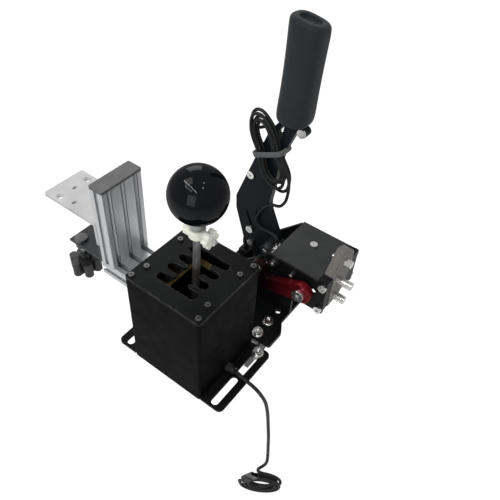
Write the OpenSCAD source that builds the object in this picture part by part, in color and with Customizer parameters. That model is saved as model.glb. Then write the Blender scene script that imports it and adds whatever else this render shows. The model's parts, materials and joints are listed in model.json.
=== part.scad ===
// Gear shifter set: an H-gate shifter and a lever handbrake on an L-shaped frame of
// slotted aluminium profile, which clamps to the edge of a desk.
// Origin: underside of the clamp's top plate, at the middle of the column's rear face.
// +Z is up, +Y points to the desk, and +X points from the shifter to the handbrake.

/* [Profile frame] */
// Side of one square cell of the slotted profile
cell = 20; // [18:1:22]
// Number of cells across the profile
cells = 3; // [3:1:3]
// Height of the column above the rail
column_h = 115; // [100:1:140]
// Length of the rail, from the column's rear face
rail_l = 220; // [212:1:260]
// Thickness of the plastic end caps
cap_t = 3.5; // [2:0.5:5]
// Width of a slot's mouth
slot_w = 6.2; // [5:0.1:7]

/* [Desk clamp] */
// Gap between the top plate and the rail's top
clamp_gap = 57; // [50:1:75]
// Reach of the top plate from the column
clamp_reach = 90; // [70:1:110]
// Thickness of the top plate
clamp_plate_t = 4; // [3:0.5:6]
// Reach of the lower jaw
jaw_reach = 58; // [54:1:80]
// Thickness of the lower jaw
jaw_t = 3; // [2:0.5:5]
// Distance between the two clamp screws
clamp_screw_pitch = 44; // [43:1:46]
// Distance of the clamp screws from the column
clamp_screw_y = 45; // [30:1:50]
// Diameter of a clamp screw
clamp_screw_d = 8; // [6:1:10]
// Bare length of screw below the jaw, which is its travel
clamp_travel = 11; // [6:1:20]
// Diameter of a star knob over its lobes
star_d = 41; // [36:1:42]
// Height of a star knob
star_h = 21; // [14:1:26]
// Number of lobes on a star knob
star_lobes = 6; // [5:1:8]

/* [Shifter housing] */
// Distance of the shifter's axis to the left of the rail's middle
shifter_side = 56; // [54:1:60]
// Distance of the shifter's axis from the column's rear face
shifter_ahead = 171; // [160:1:185]
// Side of the square housing
box_w = 89; // [84:1:100]
// Height of the gate's top above the rail
box_h = 123; // [115:1:140]
// Thickness of the gate plate
gate_t = 3; // [2:0.5:4]
// Thickness of the folded covers
cover_t = 1.2; // [0.8:0.2:2]
// Outer bend radius of the covers
cover_bend_r = 3; // [2.5:0.5:6]
// Thickness of the base plate
base_t = 3; // [2:0.5:5]
// Length of the base plate
base_l = 140; // [134:1:160]
// Corner radius of the base plate
base_corner_r = 6; // [3:1:10]
// Length of a mounting slot
mount_slot_l = 39; // [30:1:40]
// Width of a mounting slot
mount_slot_w = 8; // [6.5:0.5:9]
// Distance of the slot rows from the middle of the housing
mount_slot_y = 58; // [56:1:60]
// Distance of the slot middles from the shifter's axis
mount_slot_x = 21.5; // [20:0.5:22]
// Side of a corner post
post_w = 7; // [6:0.5:9]

/* [Shift gate] */
// Distance between neighbouring gear columns
gate_pitch = 15.3; // [14:0.1:17]
// Width of a gear column's slot
gate_slot_w = 9.4; // [8.8:0.1:11]
// Reach of a gear slot's straight part from neutral
gate_reach = 18.8; // [16:0.1:20]
// Width of the neutral channel
neutral_w = 16; // [14:0.5:18]

/* [Shift stick] */
// Diameter of the stick
stick_d = 7.5; // [6:0.1:8]
// Distance from the stick's pivot to the knob's centre
stick_l = 172.8; // [150:1:220]
// Height of the pivot above the rail
pivot_h = 30; // [28:1:36]
// Diameter of the ball knob
knob_d = 54; // [40:1:60]
// Forward lean of the stick as it rests in neutral, in degrees
rest_lean = 1.8; // [0:0.1:3]
// Diameter of the thumb nut
thumb_nut_d = 19; // [14:1:22]

/* [Handbrake] */
// Distance of the handbrake's middle to the right of the rail's middle
brake_side = 79.5; // [76:0.5:90]
// Distance of the handbrake's pivot from the column's rear face
brake_ahead = 169; // [160:1:180]
// Width over the two side plates
brake_w = 67; // [60:1:80]
// Thickness of a side plate
side_t = 4; // [3:0.5:5]
// Height of the top plate above the rail
brake_h = 80; // [78:1:84]
// Thickness of the top plate
top_t = 3; // [2:0.5:3]
// Thickness of the handbrake's base plate
brake_base_t = 5; // [3:0.5:6]
// Reach of the nose ahead of the lever's pivot
nose_reach = 94; // [92:1:100]
// Thickness of the end plate on the nose
end_plate_t = 3; // [2:0.5:5]
// Thickness of the lever arm
arm_t = 8; // [6:0.5:9]
// Height of the lever's pivot above the rail
lever_pivot_h = 32; // [32:0.5:33]
// Travel of the lever in degrees
lever_travel = 16; // [8:1:16]
// Diameter of the lever's pivot shaft
pivot_d = 12; // [10:1:12]
// Height of the grip's top above the rail
grip_top = 322; // [300:1:340]
// Length of the grip
grip_l = 100; // [90:1:110]
// Thickness of the red link
link_t = 8; // [5:0.5:8]

/* [Cords] */
// Diameter of the shifter's cord
shifter_cord_d = 4; // [3:0.2:4]
// Diameter of the handbrake's cord
brake_cord_d = 3.4; // [3:0.2:3.4]
// Turns in the handbrake's hank
brake_hank_turns = 5; // [3:1:5]
// Turns in the shifter's hank
shifter_hank_turns = 5; // [3:1:5]

/* [Hidden] */
$fn = 48;
// Play of a running fit, on the radius
run_gap = 0.05;
// Play between pieces that only lie against each other
seat_gap = 0.3;
// Overshoot of a cutting solid past the face it cuts
cut = 1;

profile_w = cell * cells;
rail_top = -clamp_gap;
groove_x = [-cell, 0, cell];
column_y = -cell / 2;
column_top = rail_top + column_h;

slot_lip = 1.8;
slot_wide = 11;
slot_depth = 6.1;
slot_floor = 5.6;
core_r = 2.1;

bolt_d = 6;
bolt_head_d = 10;
bolt_head_h = 4;
washer_d = 12.5;
washer_t = 1.2;

pad_d = 16;
pad_t = 4;
pad_lift = 1;
nut_boss_h = 5;
nut_boss_d = 16;
star_hub_h = 9;
star_hub_d = 18;
clamp_leg_h = 30;
jaw_leg_h = 26;

base_w = box_w - 1;
box_in = box_w / 2 - cover_t;
post_at = box_in - post_w / 2;
gate_low = box_h - gate_t;
column_at = [-1.5, -0.5, 0.5, 1.5] * gate_pitch;
inner_screw = [23.3, 36.5];
small_screw_d = 3;
small_head_d = 5.6;
small_head_h = 2;

stick_side = atan(gate_pitch / 2 / (box_h - pivot_h));
cradle_w = 34;
cradle_l = 53.4;
cradle_h = 16;
cradle_wall = 6;
cradle_end = 8.7;
trunnion_d = 8;
cheek_t = 5;
cheek_w = 30;
bush_flange_t = 1;
bush_wall = 2;
cheek_y = cradle_l / 2 + seat_gap + bush_flange_t;
trunnion_l = 14;
cross_pin_d = 6;
block_top = 20;
collar_h = 10;
collar_d = 15;
knob_flat = 24;
clip_h = 9;
clip_d = 16;
clip_at = stick_l - knob_flat - collar_h - clip_h / 2 - 1.5;
clip_boss_y = 11;
thumb_nut_t = 6;
clip_screw_d = 3.8;

board_t = 1.6;
board_top = gate_low - 22;
switch_size = [6, 9, 7];
switch_y = 23.5;
roller_r = 1.5;
gland_z = 8.5;
gland_reach = 9.5;

brake_in = brake_w / 2 - side_t;
top_low = brake_h - top_t;
nose_back = nose_reach - 11.5;
nose_low = 33;
end_face = nose_reach - 2;
lever_pin = [-15, 62];
lever_pin_d = 8;
link_front = [-70, 59];
link_bolt_d = 8;
link_gap = 4;
link_x = brake_w / 2 + link_gap;
eye_play = 0.8;
pin_r = norm(lever_pin - [0, lever_pivot_h]);
pin_angle = atan2(lever_pin[1] - lever_pivot_h, lever_pin[0]);
link_l = norm(link_front - lever_pin);
pin_end = [pin_r * cos(pin_angle + lever_travel), lever_pivot_h + pin_r * sin(pin_angle + lever_travel)];
plunger_travel = link_front[0] - (pin_end[0] - sqrt(pow(link_l, 2) - pow(pin_end[1] - link_front[1], 2)));
guide_x = 11;
guide_z = 51;
guide_d = 6;
guide_block = [-57, -47];
plunger_t = 10.4;
plunger_low = 46;
plunger_h = 22;
cross_rod = [-28.4, 45.8];
hub_d = 20;
stop_y = 31.5;
heel_z = 45;

brake_cord_x = -arm_t / 2 - seat_gap - brake_cord_d / 2;
hank_middle = [8, 183];
hank_tilt = 25;
tie_h = 7;
tie_tilt = 6;
tie_t = 1.5;

// Placing

// Puts its children in the shifter's frame: axis of the housing at the rail's top
module at_shifter() translate([-shifter_side, -shifter_ahead, rail_top]) children();

// Puts its children in the handbrake's frame: under the lever's pivot at the rail's top
module at_brake() translate([brake_side, -brake_ahead, rail_top]) children();

// Cradle's frame, tilted sideways into the gear column where the stick rests
module in_cradle() at_shifter() translate([0, 0, pivot_h]) rotate([0, stick_side, 0]) children();

// Stick's frame, with the stick along +Z from its pivot
module in_stick() in_cradle() rotate([-rest_lean, 0, 0]) children();

// Extrudes an outline of (y, z) points along +X, from x
module along_x(x, t) translate([x, 0, 0]) rotate([90, 0, 90]) linear_extrude(t) children();

// Extrudes an outline of (x, z) points towards -Y, from y
module along_front(y, t) translate([0, y, 0]) rotate([90, 0, 0]) linear_extrude(t) children();

// Round bar along X from x, at a point (y, z)
module bar_x(x, l, r, at) translate([x, at[0], at[1]]) rotate([0, 90, 0]) cylinder(r = r, h = l);

// Round bar towards -Y from y, at a point (x, z)
module bar_front(y, l, r, at, sides = $fn)
    translate([at[0], y, at[1]]) rotate([90, 0, 0]) cylinder(r = r, h = l, $fn = sides);

// Outlines

module rounded_rect(w, l, r) {
    square([w - 2 * r, l], center = true);
    square([w, l - 2 * r], center = true);
    for (x = [-1, 1], y = [-1, 1])
        translate([x * (w / 2 - r), y * (l / 2 - r)]) circle(r = r);
}

module obround(l, w) {
    square([l - w, w], center = true);
    for (x = [-1, 1]) translate([x * (l - w) / 2, 0]) circle(d = w);
}

// Round-ended band between two points
module band(a, b, r) {
    across = [a[1] - b[1], b[0] - a[0]] / norm(b - a) * (r - 0.05);
    translate(a) circle(r = r);
    translate(b) circle(r = r);
    polygon([a - across, b - across, b + across, a + across]);
}

// Part of a ring about the origin, with round ends
module arc_slot(radius, from, to, r) {
    steps = 12;
    half = r - 0.05;
    turns = [for (i = [0:steps]) from + (to - from) * i / steps];
    polygon(concat(
        [for (turn = turns) (radius + half) * [cos(turn), sin(turn)]],
        [for (i = [steps:-1:0]) (radius - half) * [cos(turns[i]), sin(turns[i])]]
    ));
    for (turn = [from, to]) rotate(turn) translate([radius, 0]) circle(r = r);
}

// Points of an outline whose corners are rounded, each corner being [x, y, radius]
function round_corner(before, at, after, r) =
    let (
        a = (before - at) / norm(before - at),
        b = (after - at) / norm(after - at),
        half = acos(min(1, max(-1, a * b))) / 2,
        set = r / tan(half),
        centre = at + (a + b) / norm(a + b) * r / sin(half),
        from = at + a * set - centre,
        to = at + b * set - centre,
        sweep = 180 - 2 * half,
        side = sign(from[0] * to[1] - from[1] * to[0]),
        steps = 4
    )
    [for (i = [0:steps]) let (t = side * sweep * i / steps)
        centre + [from[0] * cos(t) - from[1] * sin(t), from[0] * sin(t) + from[1] * cos(t)]];

function rounded(corners) =
    let (n = len(corners))
    [for (i = [0:n - 1])
        let (
            before = corners[(i + n - 1) % n],
            at = corners[i],
            after = corners[(i + 1) % n]
        )
        each at[2] == 0
            ? [[at[0], at[1]]]
            : round_corner([before[0], before[1]], [at[0], at[1]], [after[0], after[1]], at[2])];

// Fasteners

// Socket-head screw along Z: head above z = 0, shank below
module socket_screw(d, l, head_d, head_h, socket) {
    difference() {
        cylinder(d = head_d, h = head_h);
        translate([0, 0, head_h - socket * 0.5]) cylinder(d = socket, h = head_h, $fn = 6);
    }
    translate([0, 0, -l]) cylinder(d = d, h = l);
}

// Small round-headed screw along Z
module small_screw(l) socket_screw(small_screw_d, l, small_head_d, small_head_h, 2.4);

// Frame bolt with its washer and the nut that it holds in the slot under it
module slot_bolt(grip) {
    translate([0, 0, washer_t]) socket_screw(bolt_d, grip + washer_t + 5, bolt_head_d, bolt_head_h, 5);
    difference() {
        cylinder(d = washer_d, h = washer_t);
        translate([0, 0, -cut]) cylinder(d = bolt_d + 0.4, h = washer_t + 2 * cut);
    }
    difference() {
        translate([0, 5, -grip - slot_lip - seat_gap]) rotate([90, 0, 0]) linear_extrude(10)
            polygon([[-4.8, 0], [-4.8, -1.2], [-3.2, -3], [3.2, -3], [4.8, -1.2], [4.8, 0]]);
        translate([0, 0, -grip - slot_depth - cut]) cylinder(d = bolt_d + 0.1, h = slot_depth + cut);
    }
}

// Cords and springs

function unit(v) = v / norm(v);

function heading(p, i) =
    let (n = len(p)) unit(p[min(i + 1, n - 1)] - p[max(i - 1, 0)]);

// Side directions carried along a path without twist
function sides_along(p, first) =
    [for (
        i = 0, u = unit(first - (first * heading(p, 0)) * heading(p, 0));
        i < len(p);
        i = i + 1,
        u = i < len(p) ? unit(u - (u * heading(p, i)) * heading(p, i)) : u
    ) u];

// Smooth path through chosen points
function smooth(p, steps) =
    let (n = len(p))
    concat(
        [for (i = [0:n - 2], s = [0:steps - 1])
            let (
                a = p[max(i - 1, 0)],
                b = p[i],
                c = p[i + 1],
                d = p[min(i + 2, n - 1)],
                t = s / steps
            )
            0.5 * (2 * b + (c - a) * t + (2 * a - 5 * b + 4 * c - d) * t * t
                + (3 * b - a - 3 * c + d) * t * t * t)],
        [p[n - 1]]
    );

// Round tube swept along a path
module tube(p, r, sides, first = [1, 0, 0]) {
    n = len(p);
    u = sides_along(p, first);
    points = [for (i = [0:n - 1], k = [0:sides - 1])
        let (t = heading(p, i), a = 360 * k / sides)
        p[i] + r * (cos(a) * u[i] + sin(a) * cross(t, u[i]))];
    skin = [for (i = [0:n - 2], k = [0:sides - 1])
        let (a = i * sides + k, b = i * sides + (k + 1) % sides)
        each [[a, a + sides, b + sides], [a, b + sides, b]]];
    start = [for (k = [1:sides - 2]) [0, k, k + 1]];
    last = (n - 1) * sides;
    end = [for (k = [1:sides - 2]) [last, last + k + 1, last + k]];
    polyhedron(points, concat(skin, start, end));
}

// Points of a coil spring along +X, with straight ends
function spring_points(r, pitch, turns) =
    [for (i = [0:turns * 8])
        let (a = 360 * i / 8) [pitch * i / 8, r * cos(a), r * sin(a)]];

// Points of a hank wound in two layers, in its own plane: x across the layers, z along it.
// Its loops spiral in through the first layer and out again through the second. ends holds
// its reach up, its reach down and the sag of the outer loops; widths holds the half widths
// of its upper lobe, lower lobe and waist.
function hank_points(turns, first, way, ends, widths, step, layer) =
    [for (i = [0:turns * 24])
        let (
            s = i / 24,
            a = first + way * 360 * s,
            inward = step * min(s, turns - s),
            climb = min(1, max(0, (s - turns / 2) * 2 + 0.5)),
            reach = cos(a) > 0 ? ends[0] : ends[1] + ends[2] * max(0, 1 - inward / step),
            share = pow(sin(180 * abs(cos(a)) * 0.9), 2),
            half = widths[2] + share * ((cos(a) > 0 ? widths[0] : widths[1]) - widths[2])
        )
        [layer * climb, sin(a) * (half - inward), cos(a) * (reach - inward)]];

// Adds a straight run of one length before the first point and after the last
function with_leads(p, l) =
    let (n = len(p))
    concat([p[0] - l * unit(p[1] - p[0])], p, [p[n - 1] + l * unit(p[n - 1] - p[n - 2])]);

// Turns a point about X, then about Z, and moves it
function placed(p, about_x, about_z, at) =
    let (
        y = p[1] * cos(about_x) - p[2] * sin(about_x),
        z = p[1] * sin(about_x) + p[2] * cos(about_x)
    )
    [p[0] * cos(about_z) - y * sin(about_z), p[0] * sin(about_z) + y * cos(about_z), z] + at;

// Least gap between turns of a wound cord
function self_gap(p, d) =
    let (n = len(p))
    min([for (i = [0:n - 9], j = [i + 8:n - 1]) norm(p[i] - p[j])]) - d;

// Tail of the handbrake's cord, from its plug behind the arm round to the hank's top
brake_tail_route = [[7.5, 10, 199], [7.5, 11, 204], [7, 16, 211], [5, 24, 217], [0, 31, 220.5], [-4.5, 33.5, 222.5]];
brake_loops = [for (p = with_leads(hank_points(brake_hank_turns - 0.5, 0, -1, [47, 46, 12],
    [17, 20, 14.5], brake_cord_d * 1.38, -brake_cord_d * 1.38), brake_cord_d))
    placed(p, -hank_tilt, 0, [brake_cord_x, hank_middle[0], hank_middle[1]])];
brake_hank_path = concat(smooth(brake_tail_route, 3), brake_loops);

shifter_hank_at = [19, -96, -240];
shifter_hank_turn = 30;
shifter_loops = [for (p = with_leads(hank_points(shifter_hank_turns - 0.25, 90, -1, [28, 28, 0],
    [23, 23, 23], shifter_cord_d * 1.3, -shifter_cord_d * 1.3), shifter_cord_d))
    placed(p, 90, 0, [0, 0, 0])];
shifter_loops_end = shifter_loops[len(shifter_loops) - 1];
// Tail of the shifter's cord, out of its hank and up in front of it to its plug
shifter_tail = [[-1.5, 0, 4], [-4, -1, 8], [-5.2, -3, 12], [-5.2, -5, 15]];
shifter_hank_path = [for (p = concat(shifter_loops, [for (q = shifter_tail) shifter_loops_end + q]))
    placed(p, 0, shifter_hank_turn, shifter_hank_at)];
echo(brake_hank_gap = self_gap(brake_hank_path, brake_cord_d));
echo(shifter_hank_gap = self_gap(shifter_hank_path, shifter_cord_d));

// Route of the shifter's cord from its gland, over the base plate's edge and down
shifter_cord_route = [
    [0, -54.2, 8.5], [0, -58, 8.5], [-1, -66, 7], [-1, -74, 6], [0, -81, 2],
    [3, -86, -8], [9, -90, -28], [14, -92, -55], [18, -93, -85], [21, -95, -120],
    [23, -96, -150], [24, -97, -172], [22, -97, -194]
];

// Route of the handbrake's cord from its hank, down the lever to the sensing pin
brake_cord_route = [
    [-9, -3, 122], [-7, 8, 110], [-6, 15, 96], [-6, 17, 86], [-6, 12, 79],
    [-6, 2, 78], [-6, -8, 78.5], [-7, -13.5, 77], [-7, -15, 73.5], [-7, -15, 70.2]
];

// Profile frame

// Section of the slotted profile
module profile_section() {
    difference() {
        rounded_rect(profile_w, cell, 1.5);
        for (x = groove_x, side = [0, 180])
            translate([x, 0]) rotate(side) translate([0, cell / 2]) slot_section();
        for (side = [-90, 90])
            rotate(side) translate([0, profile_w / 2]) slot_section();
        for (x = groove_x) translate([x, 0]) circle(r = core_r);
        for (x = [-cell / 2, cell / 2]) translate([x, 0]) square([4, 11], center = true);
    }
}

// Slot that opens towards +Y at the origin
module slot_section()
    polygon([
        [-slot_w / 2, cut], [-slot_w / 2, -slot_lip], [-slot_wide / 2, -slot_lip],
        [-slot_wide / 2, -slot_lip - 1.5], [-slot_floor / 2, -slot_depth],
        [slot_floor / 2, -slot_depth], [slot_wide / 2, -slot_lip - 1.5],
        [slot_wide / 2, -slot_lip], [slot_w / 2, -slot_lip], [slot_w / 2, cut]
    ]);

module column() color("#b4b6b8")
    difference() {
        translate([0, column_y, rail_top]) linear_extrude(column_h) profile_section();
        for (x = groove_x) translate([x, column_y, rail_top - cut]) cylinder(d = bolt_d + 0.2, h = 20 + cut);
    }

module rail() color("#b4b6b8")
    difference() {
        translate([0, 0, rail_top - cell / 2]) rotate([90, 0, 0]) linear_extrude(rail_l) profile_section();
        for (x = [-cell, cell]) translate([x, column_y, rail_top - cell - cut]) {
            cylinder(d = bolt_d + 0.4, h = cell + 2 * cut);
            cylinder(d = bolt_head_d + 0.6, h = bolt_head_h + 2 + cut);
        }
    }

module end_caps() color("#4c4e50") {
    translate([0, column_y, column_top]) linear_extrude(cap_t) rounded_rect(profile_w + 0.8, cell + 0.8, 2);
    translate([0, -rail_l, rail_top - cell / 2]) rotate([90, 0, 0])
        linear_extrude(cap_t) rounded_rect(profile_w, cell, 2);
}

module frame_bolts() color("#8c8e90") {
    for (x = [-cell, cell]) {
        translate([x, column_y, rail_top - cell + 2 + bolt_head_h]) rotate([180, 0, 0])
            socket_screw(bolt_d, cell - 2 - bolt_head_h + 15, bolt_head_d, bolt_head_h, 5);
        translate([x, clamp_plate_t, -clamp_leg_h / 2]) rotate([-90, 0, 0]) slot_bolt(clamp_plate_t);
        translate([x, jaw_t, rail_top + jaw_leg_h - 9]) rotate([-90, 0, 0]) slot_bolt(jaw_t);
    }
    at_shifter() for (y = [-1, 1])
        translate([shifter_side - cell, y * mount_slot_y, base_t]) slot_bolt(base_t);
    translate([0, -brake_ahead, rail_top]) for (x = [0, cell], y = brake_bolt_y)
        translate([x, y, brake_base_t]) slot_bolt(brake_base_t);
}

// Desk clamp

module clamp_top_plate() color("#c2c4c4")
    difference() {
        union() {
            translate([0, clamp_reach / 2 + 2, 0]) linear_extrude(clamp_plate_t)
                difference() {
                    rounded_rect(profile_w, clamp_reach - 4, 3);
                    for (x = [-1, 1]) translate([x * 21.5, 23]) circle(d = 5.2);
                    for (x = [-1, 0, 1]) translate([x * 19, x == 0 ? 22 : 1]) obround(7, 4.4);
                }
            translate([-profile_w / 2, 4, 0]) cube([profile_w, 8, clamp_plate_t]);
            translate([-profile_w / 2, 0, -clamp_leg_h]) cube([profile_w, clamp_plate_t, clamp_leg_h]);
            intersection() {
                translate([0, clamp_plate_t, 0]) rotate([0, 90, 0])
                    cylinder(r = clamp_plate_t, h = profile_w, center = true);
                translate([-profile_w / 2, 0, 0]) cube([profile_w, clamp_plate_t, clamp_plate_t]);
            }
        }
        for (x = [-1, 1]) translate([x * 21.5, clamp_reach / 2 + 25, clamp_plate_t - 2.4])
            cylinder(d1 = 5.2, d2 = 10, h = 2.41);
        for (x = [-cell, cell]) translate([x, -cut, -clamp_leg_h / 2]) rotate([-90, 0, 0])
            cylinder(d = bolt_d + 0.6, h = clamp_plate_t + 2 * cut);
    }

module clamp_jaw() color("#46484a")
    difference() {
        union() {
            translate([-profile_w / 2, 0, rail_top]) cube([profile_w, jaw_reach, jaw_t]);
            translate([-profile_w / 2, 0, rail_top]) cube([profile_w, jaw_t, jaw_leg_h]);
            for (x = [-1, 1]) translate([x * clamp_screw_pitch / 2, clamp_screw_y, rail_top - nut_boss_h])
                cylinder(d = nut_boss_d, h = nut_boss_h + jaw_t);
        }
        for (x = [-1, 1]) translate([x * clamp_screw_pitch / 2, clamp_screw_y, rail_top - nut_boss_h - cut])
            cylinder(d = clamp_screw_d + 2 * run_gap, h = nut_boss_h + jaw_t + 2 * cut);
        for (x = [-cell, cell]) translate([x, -cut, rail_top + jaw_leg_h - 9]) rotate([-90, 0, 0])
            cylinder(d = bolt_d + 0.6, h = jaw_t + 2 * cut);
    }

clamp_screw_top = rail_top + jaw_t + pad_lift;
star_top = rail_top - nut_boss_h - clamp_travel - 0.6;

module clamp_pad(side) color("#c9cbcb")
    translate([side * clamp_screw_pitch / 2, clamp_screw_y, clamp_screw_top])
        difference() {
            cylinder(d = pad_d, h = pad_t);
            translate([0, 0, -cut]) cylinder(d = clamp_screw_d - 2 + 2 * run_gap, h = 2.5 + cut);
        }

module clamp_screw(side) color("#b9bbbb")
    translate([side * clamp_screw_pitch / 2, clamp_screw_y, 0]) {
        translate([0, 0, clamp_screw_top]) cylinder(d = clamp_screw_d - 2, h = 2.2);
        translate([0, 0, star_top - star_hub_h - 12])
            cylinder(d = clamp_screw_d, h = clamp_screw_top - star_top + star_hub_h + 12);
    }

module clamp_knob(side) color("#1c1d1e")
    translate([side * clamp_screw_pitch / 2, clamp_screw_y, star_top - star_hub_h])
        difference() {
            union() {
                cylinder(d = star_hub_d, h = star_hub_h);
                translate([0, 0, -star_h]) linear_extrude(star_h) star_section();
            }
            translate([0, 0, -12.2]) cylinder(d = clamp_screw_d + 2 * run_gap, h = star_hub_h + 12.2 + cut);
        }

// Outline of a star knob: round lobes joined by hollows
module star_section() {
    lobe_r = star_d * 0.14;
    circle(d = star_d - 3 * lobe_r);
    for (i = [0:star_lobes - 1]) rotate(360 * i / star_lobes)
        band([0, 0], [star_d / 2 - lobe_r, 0], lobe_r);
}

// Shifter housing

module base_plate() color("#1d1e1f") at_shifter()
    difference() {
        linear_extrude(base_t)
            difference() {
                rounded_rect(base_w, base_l, base_corner_r);
                for (x = [-1, 1], y = [-1, 1]) {
                    translate([x * mount_slot_x, y * mount_slot_y]) obround(mount_slot_l, mount_slot_w);
                    translate([x * post_at, y * post_at]) circle(d = small_screw_d + 0.2);
                    translate([x * 12, y * 20]) circle(d = small_screw_d + 0.2);
                }
            }
        for (x = [-1, 1]) translate([x * (box_in - run_gap + 5), 0, base_t / 2])
            cube([10, box_w + 4 * run_gap, base_t + 2 * cut], center = true);
        for (x = [-1, 1], y = [-1, 1]) translate([x * post_at, y * post_at, -cut])
            cylinder(d = small_head_d + 0.4, h = small_head_h * 0.8 + cut);
    }

// Folded half of the cover, on the side that turn faces
module cover(turn) at_shifter() rotate(turn)
    difference() {
        linear_extrude(gate_low)
            difference() {
                rounded_rect(box_w, box_w, cover_bend_r);
                rounded_rect(box_w - 2 * cover_t, box_w - 2 * cover_t, cover_bend_r - cover_t);
            }
        translate([-box_w, -run_gap, -cut]) cube([2 * box_w, box_w, box_h]);
        translate([-box_in, -box_w, -cut]) cube([2 * box_in, 2 * box_w, base_t + cut]);
        if (turn == 0) bar_front(-box_w / 2 + 5, 10, 4.1, [0, gland_z]);
    }

module front_cover() color("#1a1b1c") cover(0);

module rear_cover() color("#1a1b1c") cover(180);

// Opening of the gate: four gear columns across a neutral channel, with round-ended lands
module gate_opening() {
    land_w = gate_pitch - gate_slot_w;
    half = neutral_w / 2;
    for (x = column_at) translate([x, 0]) rotate(90)
        obround(2 * gate_reach + gate_slot_w, gate_slot_w);
    difference() {
        square([3 * gate_pitch, neutral_w + land_w], center = true);
        for (x = [-1, 0, 1] * gate_pitch, y = [-1, 1])
            translate([x, y * (half + land_w / 2)]) circle(d = land_w);
    }
}

module gate_plate() color("#323331") at_shifter() translate([0, 0, gate_low]) linear_extrude(gate_t)
    difference() {
        rounded_rect(box_w, box_w, cover_bend_r);
        gate_opening();
        for (x = [-1, 1], y = [-1, 1]) {
            translate([x * post_at, y * post_at]) circle(d = small_screw_d + 0.2);
            translate([x * inner_screw[0], y * inner_screw[1]]) circle(d = small_screw_d + 0.2);
        }
    }

module housing_screws() color("#5a5b5a") at_shifter()
    for (x = [-1, 1], y = [-1, 1]) {
        translate([x * post_at, y * post_at, box_h]) small_screw(10);
        translate([x * inner_screw[0], y * inner_screw[1], box_h]) small_screw(9);
        translate([x * inner_screw[0], y * inner_screw[1], board_top - board_t])
            rotate([180, 0, 0]) small_screw(7);
        translate([x * post_at, y * post_at, small_head_h * 0.8]) rotate([180, 0, 0])
            socket_screw(small_screw_d, 10, small_head_d, small_head_h * 0.8 - 0.1, 2);
        translate([x * 12, y * 20, base_t + 3]) small_screw(base_t + 2.5);
    }

module gate_posts() color("#8f9192") at_shifter()
    for (x = [-1, 1], y = [-1, 1]) {
        difference() {
            translate([x * post_at, y * post_at, base_t]) linear_extrude(gate_low - base_t)
                rounded_rect(post_w, post_w, cover_bend_r - cover_t);
            for (z = [base_t - cut, gate_low - 9]) translate([x * post_at, y * post_at, z])
                cylinder(d = small_screw_d + 2 * run_gap, h = 11);
        }
        translate([x * inner_screw[0], y * inner_screw[1], board_top])
            difference() {
                cylinder(d = 5.5, h = gate_low - board_top);
                for (z = [-cut, gate_low - board_top - 8]) translate([0, 0, z])
                    cylinder(d = small_screw_d + 2 * run_gap, h = 9);
            }
    }

// Shifter mechanism

module pivot_bracket() color("#6f7173") at_shifter() {
    difference() {
        translate([-cheek_w / 2, -cheek_y - cheek_t, base_t]) cube([cheek_w, 2 * (cheek_y + cheek_t), 3]);
        for (x = [-1, 1], y = [-1, 1]) translate([x * 12, y * 20, 0])
            cylinder(d = small_screw_d + 0.2, h = base_t + 3 + cut);
    }
    for (y = [cheek_y + cheek_t, -cheek_y]) along_front(y, cheek_t)
        difference() {
            union() {
                translate([-cheek_w / 2, base_t]) square([cheek_w, pivot_h - base_t]);
                translate([0, pivot_h]) circle(d = cheek_w);
            }
            translate([0, pivot_h]) circle(d = trunnion_d + 2 * bush_wall + 0.04);
        }
}

module pivot_bushes() color("#b08d4a") at_shifter()
    for (y = [-1, 1]) translate([0, y * (cheek_y - bush_flange_t), pivot_h]) rotate([-90 * y, 0, 0])
        difference() {
            union() {
                cylinder(d = trunnion_d + 2 * bush_wall, h = cheek_t + bush_flange_t);
                cylinder(d = trunnion_d + 4 * bush_wall, h = bush_flange_t);
            }
            translate([0, 0, -cut]) cylinder(d = trunnion_d + 2 * run_gap, h = cheek_t + bush_flange_t + 2 * cut);
        }

module cradle() color("#7a7c7e") in_cradle()
    difference() {
        union() {
            cube([cradle_w, cradle_l, cradle_h], center = true);
            rotate([90, 0, 0]) cylinder(d = trunnion_d, h = cradle_l + 2 * trunnion_l, center = true);
        }
        cube([cradle_w - 2 * cradle_wall, cradle_l - 2 * cradle_end, cradle_h + 2 * cut], center = true);
        rotate([0, 90, 0]) cylinder(d = cross_pin_d + 2 * run_gap, h = cradle_w + 2 * cut, center = true);
    }

module cross_pin() color("#c4c6c6") in_stick()
    rotate([0, 90, 0]) cylinder(d = cross_pin_d, h = cradle_w + 2, center = true);

module shaft_block() color("#55585a") in_stick()
    difference() {
        translate([-(cradle_w / 2 - cradle_wall - seat_gap), -8, -9])
            cube([cradle_w - 2 * cradle_wall - 2 * seat_gap, 16, 9 + block_top]);
        rotate([0, 90, 0]) cylinder(d = cross_pin_d + 0.04, h = cradle_w, center = true);
        translate([0, 0, 5]) cylinder(d = stick_d + 0.04, h = block_top);
    }

module shift_shaft() color("#9a9c9d") in_stick()
    translate([0, 0, 5]) cylinder(d = stick_d, h = stick_l);

module shift_knob() color("#101012") in_stick() translate([0, 0, stick_l])
    difference() {
        sphere(d = knob_d, $fn = 96);
        translate([0, 0, -knob_d / 2 - knob_flat]) cylinder(d = knob_d, h = knob_d / 2);
        translate([0, 0, -knob_d]) cylinder(d = stick_d + 0.04, h = knob_d + 5);
    }

module knob_collar() color("#9fa1a0") in_stick() translate([0, 0, stick_l - knob_flat - collar_h])
    difference() {
        cylinder(d = collar_d, h = collar_h);
        translate([0, 0, -cut]) cylinder(d = stick_d + 0.04, h = collar_h + 2 * cut);
    }

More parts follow.
